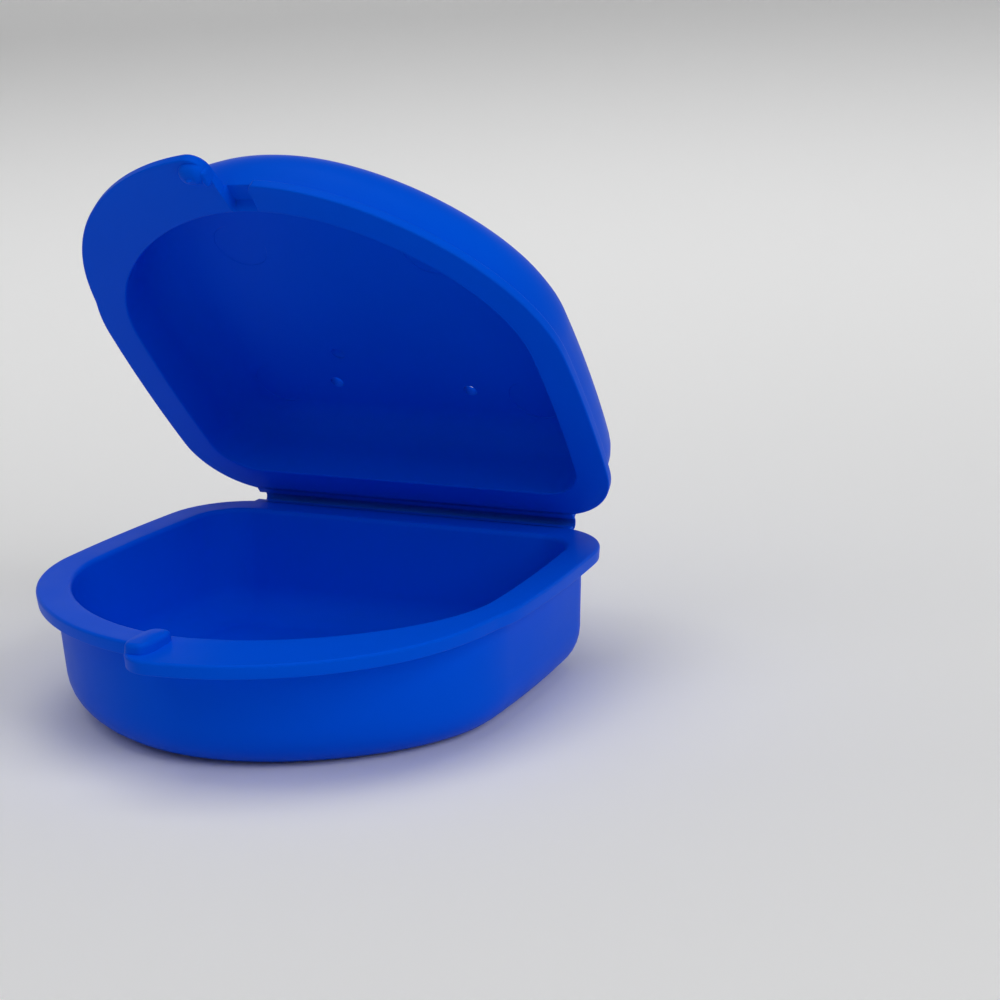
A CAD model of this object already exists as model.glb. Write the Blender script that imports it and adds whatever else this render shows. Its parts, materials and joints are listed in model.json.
# %% [markdown]
# # A mouthguard case in moulded polypropylene
# The real object is one moulding: a deep D-shaped base and a shallower lid, joined along the straight
# side by a strip of plastic so thin that it bends, which is called a living hinge. Each half has a
# crescent thumb ledge on its own half of the front, and the latch sits where the two ledges meet.
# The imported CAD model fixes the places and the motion. This lesson builds the smooth moulded surfaces
# around it, gives them their finish, and lights them.

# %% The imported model
import json
import math

import bmesh
import bpy
import numpy as np
from mathutils import Matrix, Vector


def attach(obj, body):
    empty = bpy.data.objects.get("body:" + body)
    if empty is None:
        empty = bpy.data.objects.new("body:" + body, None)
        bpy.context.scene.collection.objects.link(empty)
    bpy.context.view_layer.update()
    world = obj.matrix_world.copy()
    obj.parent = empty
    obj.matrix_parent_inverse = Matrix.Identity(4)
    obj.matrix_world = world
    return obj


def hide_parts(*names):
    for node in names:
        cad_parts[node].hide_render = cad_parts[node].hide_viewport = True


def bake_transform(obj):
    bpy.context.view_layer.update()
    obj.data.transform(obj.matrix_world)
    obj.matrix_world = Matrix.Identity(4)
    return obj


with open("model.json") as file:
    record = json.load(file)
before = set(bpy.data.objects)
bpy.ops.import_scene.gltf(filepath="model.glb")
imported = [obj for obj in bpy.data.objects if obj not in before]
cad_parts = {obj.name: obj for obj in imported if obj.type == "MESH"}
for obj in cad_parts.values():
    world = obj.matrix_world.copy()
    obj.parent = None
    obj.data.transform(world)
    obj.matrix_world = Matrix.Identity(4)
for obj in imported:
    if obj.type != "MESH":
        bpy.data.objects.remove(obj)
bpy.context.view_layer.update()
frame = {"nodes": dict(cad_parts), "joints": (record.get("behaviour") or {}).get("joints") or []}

# %% [markdown]
# ## One drawing frame for both halves
# A toolmaker draws both halves as if the case were shut: X along the hinge, Y = 0 and Z = 0 on the hinge
# axis, the front at -Y, and the plane where the halves meet at Z = 0. We do the same, in millimetres,
# and turn the lid open about the hinge at the very end. The hinge's place and the lid's angle are read
# from the joint, so nothing has to be fitted afterwards.

# %% The hinge and the two placing functions
MM = 0.001
hinge_joint = frame["joints"][0]
hinge_at = np.array(hinge_joint["pos_m"]) / MM
lid_open = -hinge_joint["range_deg"][0]


def turned(points, degrees):
    """Points turned about the X axis: y' = y cos a - z sin a, and z' = y sin a + z cos a."""
    a = math.radians(degrees)
    x, y, z = points[..., 0], points[..., 1], points[..., 2]
    return np.stack([x, y * math.cos(a) - z * math.sin(a), y * math.sin(a) + z * math.cos(a)], axis=-1)


def placed(points, part_of_lid):
    """Drawing-frame millimetres to the model's metres: the lid is turned open, then both are moved."""
    opened = turned(points, -lid_open) if part_of_lid else points
    return (opened + hinge_at) * MM


def drawn_box(node):
    """Lowest and highest corner of a CAD node in the drawing frame, in millimetres."""
    mesh = frame["nodes"][node].data
    flat = np.empty(len(mesh.vertices) * 3, np.float32)
    mesh.vertices.foreach_get("co", flat)
    points = flat.reshape(-1, 3).astype(float) / MM - hinge_at
    if node.startswith("lid_"):
        points = turned(points, lid_open)
    return points.min(0), points.max(0)


print("hinge axis at", hinge_at, "mm, lid open", lid_open, "degrees")

# %% [markdown]
# ## Sizes
# The sizes that the CAD nodes already hold are measured from them. The rest are the small radii that a
# mould has and a plain CAD model leaves out: a cutter cannot leave a razor edge, and plastic would not
# fill one.

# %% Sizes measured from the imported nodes
rim_low, rim_high = drawn_box("base_rim")
ledge_low = drawn_box("base_thumb_ledge")[0]
nub_low, nub_high = drawn_box("base_latch_nub")
lid_rim_low, lid_rim_high = drawn_box("lid_rim")
hook_low, hook_high = drawn_box("lid_latch_hook")
film_high = drawn_box("hinge_film")[1]

half_w = rim_high[0]
case_l = -rim_low[1]
back_y = rim_high[1]
rim_top = rim_high[2]
rim_under = rim_low[2]
foot_z = drawn_box("base_bowl")[0][2]
lid_face = lid_rim_low[2]
lid_rim_top = lid_rim_high[2]
lid_top = drawn_box("lid_dome")[1][2]
ledge_w = -ledge_low[1] - case_l
print("rim", 2 * half_w, "x", case_l, "mm, base", -foot_z, "mm deep, lid", lid_top, "mm high")

# %% [markdown]
# ### Sizes for the surfaces
# All are in millimetres. An inset is measured inwards from the outline. A draft is how far a wall leans
# over its height, so that it comes away from the mould.

# %% Sizes that only the surfaces need
hinge_half_w = 35.0
widest_at = 37.8
corner_r = 12.0
front_taper = 0.11
skin_t = 1.6
rim_w = 5.2
base_wall_inset = 2.8
base_draft = 1.0
lid_wall_inset = 1.4
lid_draft = 0.3
base_bottom_r = 7.0
lid_shoulder_r = 8.0
inner_draft = 0.3
inner_wall_inset = rim_w + inner_draft
# A section that went in further than the corner's radius would cross itself there.
flat_inset = corner_r - 0.2
base_inner_r = 5.3
lid_inner_r = 5.0
notch_left_x = drawn_box("lid_thumb_ledge")[1][0]
notch_right_x = nub_high[0] + (nub_low[0] - notch_left_x)

# %% [markdown]
# ## The outline
# Every horizontal section of the case is the same D, only smaller or larger. So the D is worked out
# once, as a curve measured by its own length, and each surface is a profile carried round it. A spline
# drawn by eye would also do, but formulas keep the side straight where the hinge needs it and give an
# exact outward direction at every point.

# %% The D-shaped outline, measured along its length
side_l = widest_at + back_y
front_l = case_l - widest_at
side_bow = half_w - hinge_half_w


def half_outline():
    """Points from the middle of the front round to the middle of the back, on the +X side.
    Front: x = w cos t (1 - taper sin^2 t), y = -(widest + l sin t). Side: x = w - bow (1 - s / l)^2 at a
    distance s in front of the back edge. Then an arc that touches the side and the back edge."""
    lean = math.atan(2 * side_bow * (1 - corner_r / side_l) / side_l)
    corner_end = corner_r * (1 - math.sin(lean))
    corner_x = half_w - side_bow * (1 - corner_end / side_l) ** 2 - corner_r * math.cos(lean)
    t = np.linspace(math.pi / 2, 0, 900, endpoint=False)
    front = [half_w * np.cos(t) * (1 - front_taper * np.sin(t) ** 2), -(widest_at + front_l * np.sin(t))]
    s = np.linspace(side_l, corner_end, 500, endpoint=False)
    side = [half_w - side_bow * (1 - s / side_l) ** 2, back_y - s]
    a = np.linspace(lean, math.pi / 2, 400, endpoint=False)
    corner = [corner_x + corner_r * np.cos(a), back_y - corner_r + corner_r * np.sin(a)]
    edge = [np.linspace(corner_x, 0, 300), np.full(300, back_y)]
    return np.concatenate([front, side, corner, edge], axis=1).T


right = half_outline()
left = right[-2:0:-1] * [-1, 1]
loop = np.concatenate([right, left, right[:1]])
loop_s = np.concatenate([[0], np.cumsum(np.linalg.norm(np.diff(loop, axis=0), axis=1))])
loop_l = loop_s[-1]


def outline(s):
    """Point and outward direction at distances s from the middle of the front, towards +X.
    The outward direction is the tangent turned a quarter turn clockwise."""
    s = np.mod(s, loop_l)
    point = np.stack([np.interp(s, loop_s, loop[:, k]) for k in (0, 1)], axis=-1)
    step = 0.02
    ends = [np.stack([np.interp(np.mod(s + d, loop_l), loop_s, loop[:, k]) for k in (0, 1)], axis=-1)
            for d in (-step, step)]
    along = (ends[1] - ends[0]) / np.linalg.norm(ends[1] - ends[0], axis=-1, keepdims=True)
    return point, np.stack([along[..., 1], -along[..., 0]], axis=-1)


def length_at(x):
    """Distance along the outline of the point of the front at x, negative to the left of the middle."""
    near = right[right[:, 1] < -widest_at]
    reach = np.interp(abs(x), near[:, 0], loop_s[:len(near)])
    return math.copysign(reach, x)


print("outline is", round(loop_l, 1), "mm long, from", len(loop), "points")

# %% [markdown]
# ## Columns and profiles
# A surface here is a grid. Its columns stand round the outline, closer together near the latch, where
# ledges end and the notch cuts in. Its rows follow a profile, a section through the wall. A profile is
# given by a few corners, each with its own radius, and one function rounds them all.

# %% Columns round the outline
column_gap = 0.75
fine_gap = 0.14
fine_reach = 5.5
end_jump = 0.02


def columns(ends):
    """Distances along the outline for the grid's columns: evenly spaced, closer beside each of the ends,
    and with a pair end_jump apart at each one, so that a ledge can stop there with an upright face."""
    coarse = np.linspace(0, loop_l, int(loop_l / column_gap), endpoint=False)
    coarse = np.where(coarse > loop_l / 2, coarse - loop_l, coarse)
    first, last = min(ends) - fine_reach, max(ends) + fine_reach
    fine = np.linspace(first, last, int((last - first) / fine_gap))
    kept = coarse[(coarse < first - column_gap / 2) | (coarse > last + column_gap / 2)]
    for end in ends:
        fine = fine[np.abs(fine - end) > fine_gap / 2]
    pairs = np.array([end + side * end_jump / 2 for end in ends for side in (-1, 1)])
    return np.sort(np.concatenate([kept, fine, pairs]))


# %% [markdown]
# ### Profiles with rounded corners
# Each moulded corner is an arc of its own radius. Rounding the profile before it is carried round the
# outline costs nothing, while a bevel afterwards would catch on the places where the ledges end.

# %% Rounded profiles
def rounded(corners, step=0.8, turn=9.0):
    """A profile through corners (inset, height, radius, follow), as rows of (inset, height, follow).
    At each corner, an arc of the radius touches both straight runs: it starts r tan(angle / 2) before
    the corner. Straight runs are cut no longer than step, and arcs every turn degrees. Follow says how
    far a row goes out with a ledge, and runs evenly from corner to corner."""
    at = np.array([c[:2] for c in corners], float)
    follow = np.array([c[3] for c in corners], float)
    rows = [np.append(at[0], follow[0])]
    for k in range(1, len(at)):
        if k == len(at) - 1:
            arc = np.array([np.append(at[k], follow[k])])
        else:
            before = (at[k - 1] - at[k]) / np.linalg.norm(at[k - 1] - at[k])
            after = (at[k + 1] - at[k]) / np.linalg.norm(at[k + 1] - at[k])
            bend = math.pi - math.acos(np.clip(before @ after, -1, 1))
            tangent = corners[k][2] * math.tan(bend / 2)
            middle = before + after
            centre = at[k] + middle / np.linalg.norm(middle) * corners[k][2] / math.cos(bend / 2)
            count = max(2, int(math.degrees(bend) / turn) + 1)
            share = np.linspace(0, 1, count)[:, None]
            spoke_a = at[k] + before * tangent - centre
            spoke_b = at[k] + after * tangent - centre
            swing = max(bend, 1e-6)
            turned_spokes = np.sin((1 - share) * swing) * spoke_a + np.sin(share * swing) * spoke_b
            spokes = turned_spokes / math.sin(swing)
            arc = np.column_stack([centre + spokes, np.full(count, follow[k])])
        run = arc[0, :2] - rows[-1][:2]
        cuts = max(1, int(np.linalg.norm(run) / step + 0.999))
        share = (np.arange(1, cuts) / cuts)[:, None]
        rows.extend(rows[-1] + share * (arc[0] - rows[-1]))
        rows.extend(arc)
    return np.array(rows)


# %% [markdown]
# ## From a grid to a mesh
# One function turns any grid of points into a mesh: quads between neighbouring rows and columns, a
# single point at each closed end, and faces that point outwards. Edges where the surface turns more
# sharply than a moulded radius would are marked sharp, so that the shading keeps them crisp.

# %% Grid to mesh
SHARP = math.radians(38)
MERGE_MM = 0.002


def grid_faces(rows, cols):
    """Corner numbers of the quads between neighbours in a grid whose columns close into a ring."""
    r = np.arange(rows - 1)[:, None]
    c = np.arange(cols)[None, :]
    n = (c + 1) % cols
    quads = [r * cols + c, r * cols + n, (r + 1) * cols + n, (r + 1) * cols + c]
    return np.stack(quads, axis=-1).reshape(-1, 4)


def fan_faces(ring, pole):
    """Triangles from each pair of neighbours in a closed ring of vertices to one pole."""
    return np.stack([ring, np.roll(ring, -1), np.full(len(ring), pole)], axis=-1)


def clean(mesh):
    """Joins points closer than MERGE_MM, turns every face outwards, and marks the sharp edges."""
    work = bmesh.new()
    work.from_mesh(mesh)
    bmesh.ops.remove_doubles(work, verts=work.verts, dist=MERGE_MM * MM)
    bmesh.ops.dissolve_degenerate(work, edges=work.edges, dist=MERGE_MM * MM / 2)
    bmesh.ops.recalc_face_normals(work, faces=work.faces)
    work.to_mesh(mesh)
    work.free()
    mesh.shade_smooth()
    mesh.set_sharp_from_angle(angle=SHARP)


def mesh_from(name, points, faces):
    """A mesh object from points in metres and the corner numbers of each face."""
    mesh = bpy.data.meshes.new(name)
    mesh.from_pydata(points.tolist(), [], faces)
    clean(mesh)
    piece = bpy.data.objects.new(name, mesh)
    bpy.context.scene.collection.objects.link(piece)
    print(name, len(mesh.vertices), "points,", len(mesh.polygons), "faces")
    return piece


def closed_grid(grid, first_pole, last_pole):
    """Points and faces of a grid that wraps round its columns and is closed by a pole at each end."""
    rows, cols = grid.shape[:2]
    points = np.concatenate([grid.reshape(-1, 3), [first_pole], [last_pole]])
    ring = np.arange(cols)
    fans = np.concatenate([fan_faces(ring[::-1], rows * cols),
                           fan_faces((rows - 1) * cols + ring, rows * cols + 1)])
    return points, grid_faces(rows, cols).tolist() + fans.tolist()


def joined(*parts):
    """Several (points, faces) pairs as one, with each one's numbers moved up past the points before."""
    starts = np.cumsum([0] + [len(points) for points, _ in parts]).tolist()
    faces = [[start + k for k in face] for start, part in zip(starts, parts) for face in part[1]]
    return np.concatenate([points for points, _ in parts]), faces


# %% [markdown]
# ## The thumb ledges
# A ledge is the rim grown outwards. It keeps nearly its full width round the front and runs out at the
# side, and at the latch it stops with an upright face and a rounded corner. Because it is part of the
# same surface as the rim, no step shows on top, as on the real moulding.

# %% How far a ledge stands out
ledge_angle = 80.0
ledge_centre_y = -38.0
ledge_hold = 3.4
ledge_run_out = 1.35


def crescent(point):
    """Ledge width at points of the outline: w (1 - (a / ledge_angle)^hold)^run_out, where a is the angle
    from the front. A larger hold keeps the width for longer, and a larger run_out thins the end."""
    a = np.degrees(np.arctan2(np.abs(point[..., 0]), ledge_centre_y - point[..., 1]))
    return ledge_w * np.clip(1 - np.clip(a / ledge_angle, 0, 1) ** ledge_hold, 0, None) ** ledge_run_out


def round_end(distance, radius):
    """What a rounded corner takes off at a distance d from an end: r - sqrt(r^2 - (r - d)^2) up to
    d = r, and nothing beyond."""
    inside = np.clip(radius - distance, 0, radius)
    return radius - np.sqrt(radius ** 2 - inside ** 2)


def smooth_step(value, low, high):
    """0 below low, 1 above high, and 3t^2 - 2t^3 between."""
    t = np.clip((value - low) / (high - low), 0, 1)
    return t * t * (3 - 2 * t)


# %% [markdown]
# ## The base
# The base is a deep bowl with a flat rim. Its outside wall stands in from the rim, so the rim can be
# gripped; its inside wall drops from the rim's inner edge. The wall leans a little, which is the draft
# that lets it leave the mould, and the floor meets it in a large radius so that it can be wiped clean.
# The profile starts in the middle of the foot, goes up the outside, over the rim and down the inside.

# %% The base shell
base_end_s = length_at(ledge_low[0])
base_end_r = 5.0
rest_end_r = 0.9
ledge_slope_drop = 0.28
rim_draft = 0.22
rim_under_r, rim_lower_r, rim_upper_r, rim_inner_r = 0.45, 0.18, 0.42, 0.75
inner_wall_top = rim_w - 0.05


def base_profile():
    """Section of the base, from the foot, up the outer wall, over the rim and down to the floor."""
    floor_z = foot_z + skin_t
    return rounded([
        (flat_inset, foot_z, 0, 0),
        (base_wall_inset + base_draft, foot_z, base_bottom_r, 0),
        (base_wall_inset, rim_under, rim_under_r, 0),
        (rim_draft, rim_under, rim_lower_r, 1),
        (0.0, rim_top, rim_upper_r, 1),
        (inner_wall_top, rim_top, rim_inner_r, 0),
        (inner_wall_inset + inner_draft / 2, floor_z, base_inner_r, 0),
        (flat_inset, floor_z, 0, 0),
    ])


def base_surface(s, profile):
    """Each profile row goes out with the ledge by its follow, and down a little, so that the top
    slopes."""
    point, out = outline(s)
    on_right = s > base_end_s
    ledge = crescent(point) - round_end(s - base_end_s, base_end_r)
    rest = -round_end(base_end_s - s, rest_end_r)
    on_ledge = on_right & (point[:, 0] > ledge_low[0] - 1)
    grow = np.where(on_ledge, ledge, np.where(on_right, 0, rest))
    inset, height, follow = profile.T
    shift = -inset[:, None] + follow[:, None] * grow[None, :]
    flat = point[None] + out[None] * shift[..., None]
    drop = follow[:, None] * np.clip(grow, 0, None)[None, :] * ledge_slope_drop / ledge_w
    return np.concatenate([flat, (height[:, None] - drop)[..., None]], axis=-1)


def shrink_rows(ring, centre, shares):
    """Rings that shrink evenly from a ring towards a centre, for a flat floor."""
    return centre + (ring[None] - centre) * np.array(shares)[:, None, None]


base_s = columns([base_end_s])
base_grid = base_surface(base_s, base_profile())
middle_y = (back_y - case_l) / 2
foot_centre = np.array([0, middle_y, foot_z])
floor_centre = np.array([0, middle_y, foot_z + skin_t])
shares = [0.05, 0.2, 0.4, 0.6, 0.8]
base_rows = np.concatenate([shrink_rows(base_grid[0], foot_centre, shares), base_grid,
                            shrink_rows(base_grid[-1], floor_centre, shares[::-1])])
points, faces = closed_grid(base_rows, foot_centre, floor_centre)
base_shell = mesh_from("base_shell", placed(points, False), faces)

# %% [markdown]
# ## The lid
# The lid is the same D with a lower, rounder dome. On top it has a shallow raised panel whose two steps
# run into one at the sides. Its ledge is on the other half of the front. Between the ledge's end and the
# rest of the flange is the latch notch: there the flange is missing, the wall comes straight down, and
# a pocket in the face takes the nub of the base.

# %% The lid shell
left_end_s = length_at(notch_left_x)
right_end_s = length_at(notch_right_x)
pocket_top = nub_high[2] + 0.45
pocket_side = 0.35
pocket_depth = 5.0
pocket_back_r = 0.65
notch_edge_r = 0.25
wall_reach = 4.2
panel_step = 0.2
lid_end_r = 2.6
flange_end_r = 1.0
panel_inset = lid_wall_inset + lid_draft + lid_shoulder_r
# Each step slopes between two insets, measured from where the flat top begins.
upper_step, upper_step_r = (1.3, 1.55), 0.5
lower_step, lower_step_r = (0.15, 0.35), 0.4
flange_draft = 0.05
flange_root_r, flange_top_r, face_outer_r, face_inner_r = 0.3, 0.3, 0.22, 0.3


def lid_profile():
    """Section of the lid, from the top panel down the outside, under the rim and up to the inner top."""
    outer_top = lid_top - 2 * panel_step
    return rounded([
        (flat_inset, lid_top, 0, 0),
        (panel_inset + upper_step[1], lid_top, upper_step_r, 0),
        (panel_inset + upper_step[0], lid_top - panel_step, upper_step_r, 0),
        (panel_inset + lower_step[1], lid_top - panel_step, lower_step_r, 0),
        (panel_inset + lower_step[0], outer_top, lower_step_r, 0),
        (lid_wall_inset + lid_draft, outer_top, lid_shoulder_r - panel_step, 0),
        (lid_wall_inset, lid_rim_top, flange_root_r, 0),
        (flange_draft, lid_rim_top, flange_top_r, 1),
        (0.0, lid_face, face_outer_r, 1),
        (rim_w, lid_face, face_inner_r, 0),
        (inner_wall_inset, lid_top - skin_t, lid_inner_r, 0),
        (flat_inset, lid_top - skin_t, 0, 0),
    ], step=0.45)


def lid_growth(s, point):
    """How far the flange stands out: the ledge on the left, nothing in the notch, and the plain rim on
    the right."""
    ledge = crescent(point) - round_end(left_end_s - s, lid_end_r)
    plain = -round_end(s - right_end_s, flange_end_r)
    left_side = (s < left_end_s) & (point[:, 0] < 0)
    in_notch = (s >= left_end_s) & (s <= right_end_s)
    return np.where(in_notch, -lid_wall_inset, np.where(left_side, ledge, plain))


def lid_surface(s, profile):
    """Rows go out with the flange, and near the face they are lifted over the pocket: a height z below
    wall_reach becomes a height between the pocket's roof and wall_reach, in proportion."""
    point, out = outline(s)
    grow = lid_growth(s, point)
    inset, height, follow = profile.T
    shift = -inset[:, None] + follow[:, None] * grow[None, :]
    in_notch = (s >= left_end_s) & (s <= right_end_s)
    on_flange = (follow > 0) | ((inset < lid_wall_inset) & (height < lid_rim_top + 1))
    bare_wall = (on_flange & (height > lid_face + notch_edge_r))[:, None] & in_notch[None, :]
    shift = np.where(bare_wall, -lid_wall_inset, shift)
    flat = point[None] + out[None] * shift[..., None]
    across = (smooth_step(s, left_end_s - end_jump, left_end_s + pocket_side)
              * smooth_step(-s, -right_end_s - end_jump, pocket_side - right_end_s))
    depth_in = -shift
    along = 1 - smooth_step(depth_in, pocket_depth - pocket_back_r, pocket_depth)
    roof = lid_face + (pocket_top - lid_face) * across[None, :] * along
    low = np.minimum(height, wall_reach)[:, None]
    lifted = roof + (low - lid_face) * (wall_reach - roof) / (wall_reach - lid_face)
    rise = np.where(height[:, None] < wall_reach, lifted, height[:, None])
    return np.concatenate([flat, rise[..., None]], axis=-1)


lid_s = columns([left_end_s, right_end_s])
lid_grid = lid_surface(lid_s, lid_profile())
top_centre = np.array([0, middle_y, lid_top])
inner_centre = np.array([0, middle_y, lid_top - skin_t])
lid_rows = np.concatenate([shrink_rows(lid_grid[0], top_centre, shares), lid_grid,
                           shrink_rows(lid_grid[-1], inner_centre, shares[::-1])])
points, faces = closed_grid(lid_rows, top_centre, inner_centre)
lid_shell = mesh_from("lid_shell", placed(points, True), faces)

# %% [markdown]
# ## The vents and the ejector marks
# Two small holes let the wet guard dry, each in a shallow dimple. Inside, four round witness marks show
# where the ejector pins pushed the lid out of the mould, and a tiny cup shows where the plastic came in.
# A hole through a grid is awkward to draw as a function, so this is a job for a Boolean: turned pins are
# taken out of the lid, just as the core pins of the mould keep the plastic out.

# %% Turned pins
vent_x, vent_y, vent_r = 11.5, -16.5, 1.1
dimple_r, dimple_depth = 2.6, 0.2
ejector_at = [(-15.7, -46.8), (15.7, -46.8), (-22.0, -15.3), (22.0, -15.3)]
ejector_r, ejector_depth = 4.2, 0.09
gate_at, gate_r, gate_depth = (-8.6, -23.4), 1.1, 0.4


def turned_pin(x, y, profile, turns=56):
    """A surface turned about an upright axis, with radius r and height z at each profile point."""
    a = np.linspace(0, 2 * math.pi, turns, endpoint=False)
    r, z = np.array(profile).T
    grid = np.stack([x + r[:, None] * np.cos(a), y + r[:, None] * np.sin(a),
                     np.repeat(z[:, None], turns, axis=1)], axis=-1)
    return closed_grid(grid, np.array([x, y, z[0]]), np.array([x, y, z[-1]]))


# %% [markdown]
# ### The pins taken out of the lid
# The vent's pin is straight and flares at the top. An ejector pin stands a hair proud of the core, which
# leaves a faint ring, and the gate leaves a shallow cup. All go in one cut.

# %% The vents, the ejector marks and the gate cup
ceiling = lid_top - skin_t
overshoot = 1
flare = np.linspace(0, math.pi / 2, 8)
flare_r = vent_r + (dimple_r - vent_r) * (1 - np.cos(flare))
flare_z = lid_top - dimple_depth * (1 - np.sin(flare))
vent_pin = [(vent_r, ceiling - overshoot), *zip(flare_r, flare_z), (dimple_r, lid_top + overshoot)]
ejector_pin = [(ejector_r, ceiling - overshoot), (ejector_r, ceiling),
               (ejector_r - ejector_depth, ceiling + ejector_depth)]
cup = np.linspace(0, math.pi / 2, 8)[:-1]
gate_pin = [(gate_r, ceiling - overshoot),
            *zip(gate_r * np.cos(cup), ceiling + gate_depth * np.sin(cup))]

pins = joined(*[turned_pin(side * vent_x, vent_y, vent_pin) for side in (-1, 1)],
              *[turned_pin(*at, ejector_pin) for at in ejector_at],
              turned_pin(*gate_at, gate_pin))
pin = mesh_from("mould_pins", placed(pins[0], True), pins[1])
cut = lid_shell.modifiers.new("pins", "BOOLEAN")
cut.object = pin
cut.operation = "DIFFERENCE"
cut.solver = "EXACT"
bpy.context.view_layer.update()
lid_shell.data = bpy.data.meshes.new_from_object(
    lid_shell.evaluated_get(bpy.context.evaluated_depsgraph_get()))
lid_shell.modifiers.clear()
bpy.data.objects.remove(pin)
lid_shell.data.name = "lid_shell"
clean(lid_shell.data)
print("lid with vents and marks:", len(lid_shell.data.vertices), "points")

# %% [markdown]
# ## The nub and the catch
# The nub is a smooth pillow on the base's rim. The lid's ledge ends in a short wall and a rounded catch
# that drop outside the base's rim and snap past the nub. All three have the same shape: a rounded
# rectangle with an upright side, a rounded shoulder and a slightly crowned top.

# %% Pillow-shaped bumps
def pillow(low, high, tip, root, shoulder, crown, power, taper=0.0):
    """A bump on the plan |x / a|^power + |y / b|^power = 1 between two corners, from height root to tip.
    The side leans in by taper, a quarter circle of radius shoulder rounds it over, and the top rises by
    crown as 1 - q^2 towards its middle. Power 2 is an ellipse, and larger powers are squarer."""
    a, b = (high - low) / 2
    centre = (high + low) / 2
    up = 1 if tip > root else -1
    t = np.linspace(0, 2 * math.pi, 72, endpoint=False)
    plan = np.stack([np.sign(np.cos(t)) * np.abs(np.cos(t)) ** (2 / power),
                     np.sign(np.sin(t)) * np.abs(np.sin(t)) ** (2 / power)], axis=-1)
    q = np.linspace(0, math.pi / 2, 9)
    tall = abs(tip - root) - crown
    side = [(taper * k, (tall - shoulder) * k) for k in np.linspace(0.1, 1, 5)]
    round_over = [(taper + shoulder * (1 - math.cos(k)), tall - shoulder + shoulder * math.sin(k))
                  for k in q]
    inset, rise = np.array([(0, 0), *side, *round_over]).T
    size = np.array([a, b]) - inset[:, None]
    inner = np.linspace(1, 0, 9)[1:-1]
    rings = np.concatenate([size, size[-1] * inner[:, None]])
    lift = np.concatenate([rise, tall + crown * (1 - inner ** 2)])
    grid = centre + plan[None] * rings[:, None, :]
    height = np.repeat((root + up * lift)[:, None], len(t), axis=1)
    grid = np.concatenate([grid, height[..., None]], axis=-1)
    return closed_grid(grid, np.array([*centre, root]), np.array([*centre, tip]))


nub_root = 0.55
nub_points, nub_faces = pillow(nub_low[:2], nub_high[:2], tip=nub_high[2], root=rim_top - nub_root,
                               shoulder=0.62, crown=0.16, power=3.4, taper=0.12)
latch_nub = mesh_from("latch_nub", placed(nub_points, False), nub_faces)

# Both are rooted inside the ledge, and the wall ends just outside the base's rim.
catch_root = lid_face + 0.9
wall_drop = 1.0
catch_parts = pillow(np.array([hook_low[0] - 0.5, hook_low[1] + 0.9]),
                     np.array([notch_left_x - 0.15, hook_high[1]]), tip=hook_low[2],
                     root=catch_root, shoulder=1.5, crown=0.45, power=2.3, taper=0.2)
wall_parts = pillow(np.array([notch_left_x - 1.1, -case_l - ledge_w + 2.4]),
                    np.array([notch_left_x - 0.1, -case_l - 0.35]), tip=lid_face - wall_drop,
                    root=catch_root, shoulder=0.45, crown=0.1, power=3.5)
catch_points, catch_faces = joined(catch_parts, wall_parts)
latch_catch = mesh_from("latch_catch", placed(catch_points, True), catch_faces)

# %% [markdown]
# ## The hinge
# Each half has a thick land along the back. The film between them is a third of a millimetre thick and
# about two millimetres wide; flexing it once lines up the polymer chains, and then it bends for years.
# It bows out as an arc about the hinge axis, so when the lid turns it stays on the same circle.

# %% Hinge lands
def rounded_box(low, high, radius):
    """A box with rounded edges: each direction of a sphere, times the radius, is moved out to the corner
    of its own eighth. The grid has two rows or columns where a direction changes sign, and the flat
    faces lie between them."""
    quarter = np.linspace(0, math.pi / 2, 6)
    turn = np.concatenate([quarter + k * math.pi / 2 for k in range(4)])
    side_x = np.repeat([1, -1, -1, 1], 6)
    side_y = np.repeat([1, 1, -1, -1], 6)
    tilt = np.concatenate([quarter - math.pi / 2, quarter])
    side_z = np.repeat([-1, 1], 6)
    half = (np.array(high) - np.array(low)) / 2 - radius
    ball = np.stack([np.cos(tilt)[:, None] * np.cos(turn), np.cos(tilt)[:, None] * np.sin(turn),
                     np.repeat(np.sin(tilt)[:, None], len(turn), axis=1)], axis=-1)
    corner = np.stack([np.broadcast_to(side_x, ball.shape[:2]), np.broadcast_to(side_y, ball.shape[:2]),
                       np.broadcast_to(side_z[:, None], ball.shape[:2])], axis=-1)
    centre = (np.array(high) + np.array(low)) / 2
    grid = centre + corner * half + ball * radius
    bottom, top = centre.copy(), centre.copy()
    bottom[2], top[2] = low[2], high[2]
    return closed_grid(grid, bottom, top)


land_bite = 1.6
edge_r = 0.16


def hinge_strip_on(cad_node, name, part_of_lid):
    """A land's strip: the CAD node's box, carried land_bite into the rim so that both look like one."""
    low, high = drawn_box(cad_node)
    points, faces = rounded_box([low[0], high[1] - land_bite, low[2]], high, edge_r)
    return mesh_from(name, placed(points, part_of_lid), faces)


base_land = hinge_strip_on("base_hinge_land", "base_hinge_strip", False)
lid_land = hinge_strip_on("lid_hinge_land", "lid_hinge_strip", True)
land_end_y = drawn_box("base_hinge_land")[1][1]

# %% [markdown]
# ### The film
# A ribbon with two sides and closed ends. A sheet without thickness would look the same from afar, but
# its edge shows at both ends of the hinge.

# %% The living hinge's film
film_t = 0.35
film_bite = 0.02
coining = 0.12
film_r = film_high[1] - film_t
film_from = -math.acos(land_end_y / film_r) - film_bite
film_to = -film_from - math.radians(lid_open)
film_half_l = film_high[0]


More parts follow.
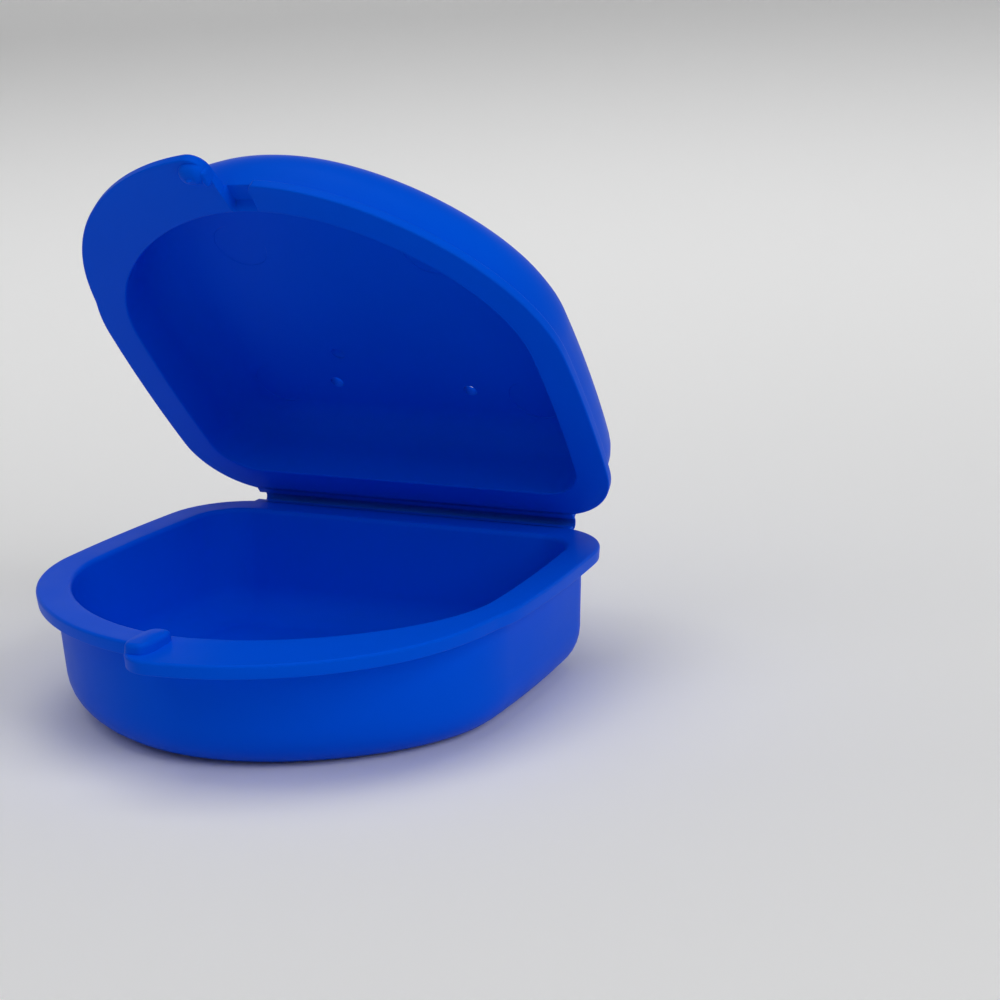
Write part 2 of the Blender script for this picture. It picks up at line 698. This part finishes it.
def film_grid(lengthwise=90, around=40):
    """A bent strip: an outer and an inner arc about the hinge axis, carried along X. The strip is a
    little thinner in the middle, t (1 - 2 coining sin^2), where the mould coins a living hinge."""
    a = np.linspace(film_from, film_to, around)
    middle = np.sin(np.linspace(0, math.pi, around)) ** 2
    outer = film_r + film_t * (1 - coining * middle)
    inner = film_r + film_t * coining * middle
    ring_a = np.concatenate([a, a[::-1]])
    ring_r = np.concatenate([outer, inner[::-1]])
    x = np.linspace(-film_half_l, film_half_l, lengthwise)
    section = np.stack([np.zeros(2 * around), ring_r * np.cos(ring_a), ring_r * np.sin(ring_a)], axis=-1)
    return section[None] + x[:, None, None] * np.array([1, 0, 0])


film = film_grid()
rows, cols = film.shape[:2]
film_faces = grid_faces(rows, cols).tolist()
film_faces += [list(range(cols)), list(range((rows - 1) * cols, rows * cols))]
hinge_strip = mesh_from("living_hinge", placed(film.reshape(-1, 3), False), film_faces)

# %% [markdown]
# ## Label bars
# Two blank raised bars stand on the lid where a maker would put its mark.

# %% The label bars
bar_root = 0.5
bar_edge_r = 0.2


def bar(cad_node):
    """A raised bar with round ends and a rounded top edge, on the place of a CAD node."""
    low, high = drawn_box(cad_node)
    half_l, half_h = (high[0] - low[0]) / 2, (high[1] - low[1]) / 2
    centre = (low + high) / 2
    t = np.linspace(0, 2 * math.pi, 96, endpoint=False)
    run = np.sign(np.cos(t)) * (half_l - half_h)
    q = np.linspace(0, math.pi / 2, 6)
    tall = high[2] - low[2]
    inset = np.concatenate([[0, 0], bar_edge_r * (1 - np.cos(q))])
    rise = np.concatenate([[-bar_root, 0], tall - bar_edge_r + bar_edge_r * np.sin(q)])
    r = half_h - inset
    grid = np.stack([centre[0] + run + r[:, None] * np.cos(t), centre[1] + r[:, None] * np.sin(t),
                     np.repeat((low[2] + rise)[:, None], len(t), axis=1)], axis=-1)
    return closed_grid(grid, np.array([centre[0], centre[1], low[2] - bar_root]),
                       np.array([centre[0], centre[1], high[2]]))


bars = []
bar_nodes = ("lid_label_bar_long", "lid_label_bar_short")
for cad_node in bar_nodes:
    bar_points, bar_faces = bar(cad_node)
    bars.append(mesh_from(cad_node.replace("lid_", "raised_"), placed(bar_points, True), bar_faces))

# %% [markdown]
# ## The plastic
# The case is injection-moulded polypropylene coloured through with a royal blue masterbatch. The eye
# sees a strong, even blue with a soft, waxy gloss: broad blurred highlights, no mirror, and a very fine
# grain from the spark-eroded mould. Polypropylene has an IOR of 1.49.

# %% Colour and node helpers
def linear(hex_colour):
    """An sRGB hex colour as linear RGBA: c / 12.92 up to 0.04045, else ((c + 0.055) / 1.055)^2.4."""
    c = np.array([int(hex_colour[k:k + 2], 16) for k in (1, 3, 5)]) / 255
    c = np.where(c <= 0.04045, c / 12.92, ((c + 0.055) / 1.055) ** 2.4)
    return (*c, 1.0)


def node(tree, kind, links=None, **settings):
    """Adds a node. Settings that name an input socket set its value; others set the node's property.
    Links is {input socket: output socket of another node}."""
    made = tree.nodes.new(kind)
    for name, value in settings.items():
        socket = made.inputs.get(name.replace("_", " "))
        if socket is not None:
            socket.default_value = value
        else:
            setattr(made, name, value)
    for name, source in (links or {}).items():
        tree.links.new(source, made.inputs[name])
    return made


# %% [markdown]
# ### Injection-moulded polypropylene
# Colour and gloss drift slowly, as the flow of the melt leaves them. The sheen is kept weak and tinted
# blue, because the real case shows hardly any white on its edges. The film is a little duller and less
# even, because it is so thin that some of the light passes through.

# %% The two plastics
# A spark-eroded grain is a few hundredths of a millimetre wide. It is drawn about ten times as wide,
# because it would not show in the render at its real size.
grain_mm = 0.35
grain_depth_mm = 0.02
flow_mm = 26.0
cloud_mm = 9.0
gloss_drop, gloss_rise = 0.04, 0.05


def moulded_polypropylene(name, deep, bright, roughness):
    """Royal blue polypropylene: slow flow clouds in colour and gloss, and a fine spark-eroded grain."""
    material = bpy.data.materials.new(name)
    material.use_nodes = True
    tree = material.node_tree
    tree.nodes.clear()
    place = node(tree, "ShaderNodeTexCoord").outputs["Object"]
    flow = node(tree, "ShaderNodeTexNoise", {"Vector": place}, Scale=1 / (flow_mm * MM), Detail=2.0)
    cloud = node(tree, "ShaderNodeTexNoise", {"Vector": place}, Scale=1 / (cloud_mm * MM), Detail=4.0)
    grain = node(tree, "ShaderNodeTexNoise", {"Vector": place}, Scale=1 / (grain_mm * MM), Detail=2.0)
    tint = node(tree, "ShaderNodeMix", {"Factor": flow.outputs["Fac"]}, data_type="RGBA")
    tint.inputs[6].default_value = linear(deep)
    tint.inputs[7].default_value = linear(bright)
    gloss = node(tree, "ShaderNodeMapRange", {"Value": cloud.outputs["Fac"]}, From_Min=0.3, From_Max=0.7,
                 To_Min=roughness - gloss_drop, To_Max=roughness + gloss_rise)
    relief = node(tree, "ShaderNodeBump", {"Height": grain.outputs["Fac"]}, Strength=0.05,
                  Distance=grain_depth_mm * MM)
    shader = node(tree, "ShaderNodeBsdfPrincipled",
                  {"Base Color": tint.outputs[2], "Roughness": gloss.outputs["Result"],
                   "Normal": relief.outputs["Normal"]},
                  IOR=1.49, Specular_IOR_Level=0.03, Specular_Tint=linear("#3f74ff"))
    node(tree, "ShaderNodeOutputMaterial", {"Surface": shader.outputs["BSDF"]})
    return material


case_plastic = moulded_polypropylene("injection_moulded_polypropylene", "#0052e0", "#0058ea", 0.36)
film_plastic = moulded_polypropylene("coined_polypropylene_film", "#0046c8", "#1a5ade", 0.42)

# %% [markdown]
# ## Bodies, slots and what each piece stands for
# Every piece rides on the CAD body that it belongs to. The film is the only one that bends.

# %% Riding and replacing
for piece in (base_shell, latch_nub, base_land, lid_shell, latch_catch, lid_land, *bars):
    piece.data.materials.clear()
    piece.data.materials.append(case_plastic)
hinge_strip.data.materials.append(film_plastic)

for piece in (base_shell, latch_nub, base_land):
    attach(piece, "base")
for piece in (lid_shell, latch_catch, lid_land, *bars):
    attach(piece, "lid")
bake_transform(hinge_strip)

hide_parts("base_bowl", "base_rim", "base_thumb_ledge")
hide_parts("base_latch_nub")
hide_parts("base_hinge_land")
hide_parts("lid_dome", "lid_rim", "lid_thumb_ledge")
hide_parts("lid_latch_hook")
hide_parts("lid_hinge_land")
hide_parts("hinge_film")
for piece, cad_node in zip(bars, bar_nodes):
    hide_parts(cad_node)

# %% [markdown]
# ## The stage
# A product shot on white wants a floor with no horizon. A round sweep, flat in the middle and curving up
# all round, gives a plain pale ground from any side. It is turned from one profile. The paper is matt
# and nearly white, so it shows soft shadows and no highlight.

# %% Floor sweep
def sweep_profile(flat_r, bend_r, wall_h, steps=24):
    """Radius and height of the sweep: flat to flat_r, a quarter circle of bend_r, then straight up."""
    q = np.linspace(0, math.pi / 2, steps)
    flat = np.linspace(0.02, flat_r, 10)[:-1]
    r = np.concatenate([flat, flat_r + bend_r * np.sin(q), [flat_r + bend_r]])
    z = np.concatenate([np.zeros(len(flat)), bend_r * (1 - np.cos(q)), [wall_h]])
    return r, z


sweep_turns = 96
sweep_r, sweep_z = sweep_profile(flat_r=1.1, bend_r=0.5, wall_h=0.9)
around = np.linspace(0, 2 * math.pi, sweep_turns, endpoint=False)
sweep = np.stack([sweep_r[:, None] * np.cos(around), sweep_r[:, None] * np.sin(around),
                  np.repeat(sweep_z[:, None], sweep_turns, axis=1)], axis=-1)
ring_count = len(sweep_r)
sweep_points = np.concatenate([sweep.reshape(-1, 3), [[0, 0, 0]]])
sweep_faces = (grid_faces(ring_count, sweep_turns)[:, ::-1].tolist()
               + fan_faces(np.arange(sweep_turns), ring_count * sweep_turns).tolist())
floor_mesh = bpy.data.meshes.new("floor")
floor_mesh.from_pydata(sweep_points.tolist(), [], sweep_faces)
floor_mesh.shade_smooth()
floor = bpy.data.objects.new("floor", floor_mesh)
bpy.context.scene.collection.objects.link(floor)

floor_paper = bpy.data.materials.new("matt_white_paper")
floor_paper.use_nodes = True
paper = floor_paper.node_tree.nodes["Principled BSDF"]
paper.inputs["Base Color"].default_value = linear("#fbfbfb")
paper.inputs["Roughness"].default_value = 0.9
paper.inputs["Specular IOR Level"].default_value = 0.1
floor_mesh.materials.append(floor_paper)

# %% [markdown]
# ## Light
# Three soft boxes light the case: one overhead, which makes the rims and the ledge the brightest, one
# high in front, which reaches down into the base, and one on the right, which lights the upright faces
# on that side. A fourth faces away from the case, towards the sweep behind it, so that the ground stays
# pale. The surround is nearly dark, because an even white one would lay a grey veil over the blue.

# %% Surround and soft boxes
world = bpy.data.worlds.new("studio")
bpy.context.scene.world = world
world.use_nodes = True
surround = world.node_tree.nodes["Background"]
surround.inputs["Color"].default_value = linear("#ffffff")
surround.inputs["Strength"].default_value = 0.05


def soft_box(name, place, aim, size, power):
    """A square area light at a place in metres, turned towards aim, with its power in watts."""
    light = bpy.data.lights.new(name, "AREA")
    light.size = size
    light.energy = power
    lamp = bpy.data.objects.new(name, light)
    lamp.matrix_world = (Matrix.Translation(place)
                         @ (Vector(aim) - Vector(place)).to_track_quat("-Z", "Y").to_matrix().to_4x4())
    bpy.context.scene.collection.objects.link(lamp)
    return lamp


case_middle = (0, 0, 0.03)
soft_box("overhead_box", (0.0, 0.0, 0.85), case_middle, size=0.7, power=2.4)
soft_box("front_box", (-0.2, -0.5, 0.75), case_middle, size=0.6, power=1.35)
soft_box("right_box", (0.75, -0.2, 0.5), case_middle, size=0.5, power=2.7)
soft_box("backdrop_box", (-0.1, 0.35, 0.85), (-0.65, 1.4, 0.3), size=0.9, power=4.2)

# %% [markdown]
# ## Camera
# The camera looks down a little from the front right, with a long lens from close by. It aims beside
# the case, so that the case stands left of the middle of the picture.

# %% Camera
view_azimuth, view_elevation, view_roll = (math.radians(d) for d in (27.42, 14.93, -2.79))
view_distance = 399.4
aim = np.array([0.0, -38.0, 0.0])
aim_left, aim_below = 30.31, 11.0
lens_mm = 100.97

away = np.array([math.sin(view_azimuth) * math.cos(view_elevation),
                 -math.cos(view_azimuth) * math.cos(view_elevation), math.sin(view_elevation)])
level = np.array([math.cos(view_azimuth), math.sin(view_azimuth), 0])
upright = np.cross(away, level)
cam_x = math.cos(view_roll) * level + math.sin(view_roll) * upright
cam_y = -math.sin(view_roll) * level + math.cos(view_roll) * upright
cam_at = aim + away * view_distance + cam_x * aim_left + cam_y * aim_below
camera_data = bpy.data.cameras.new("camera")
camera_data.lens = lens_mm
camera_data.sensor_width = 36
camera_data.clip_start = 0.01
camera = bpy.data.objects.new("camera", camera_data)
cam_turn = Matrix(np.column_stack([cam_x, cam_y, away]).tolist()).to_4x4()
camera.matrix_world = Matrix.Translation(placed(cam_at, False)) @ cam_turn
bpy.context.scene.collection.objects.link(camera)
bpy.context.scene.camera = camera
bpy.context.scene.view_settings.view_transform = "Standard"
